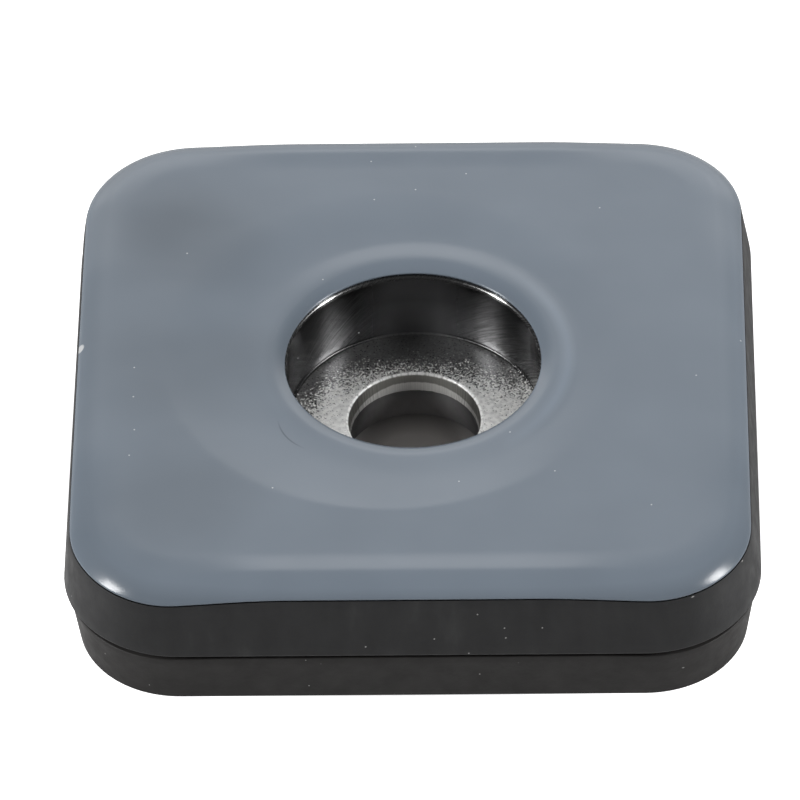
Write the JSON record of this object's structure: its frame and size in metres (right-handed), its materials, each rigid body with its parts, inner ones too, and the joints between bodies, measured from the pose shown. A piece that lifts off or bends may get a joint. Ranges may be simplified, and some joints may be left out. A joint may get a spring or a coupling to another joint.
{
  "type": "furniture slider",
  "caption": "Square screw-on furniture slider with rounded corners: low-friction cap on a black layered body, sunk steel cup in the middle for the screw's head.",
  "frame": {"origin": "centre of the base, on the plane that lies against the furniture's leg", "axes": "+Z out of the sliding face along the screw, +X and +Y square to the straight sides"},
  "size_m": [0.025, 0.025, 0.0055],
  "materials": {
    "pad_rubber": "satin black hard rubber",
    "carrier_plastic": "satin black moulded plastic",
    "cup_steel": "bright drawn sheet with a satin floor",
    "cap_ptfe": "smooth waxy grey fluoropolymer"
  },
  "bodies": {
    "root": {"base_pad": "pad_rubber", "carrier": "carrier_plastic", "screw_cup": "cup_steel", "sliding_cap": "cap_ptfe"}
  },
  "joints": []
}
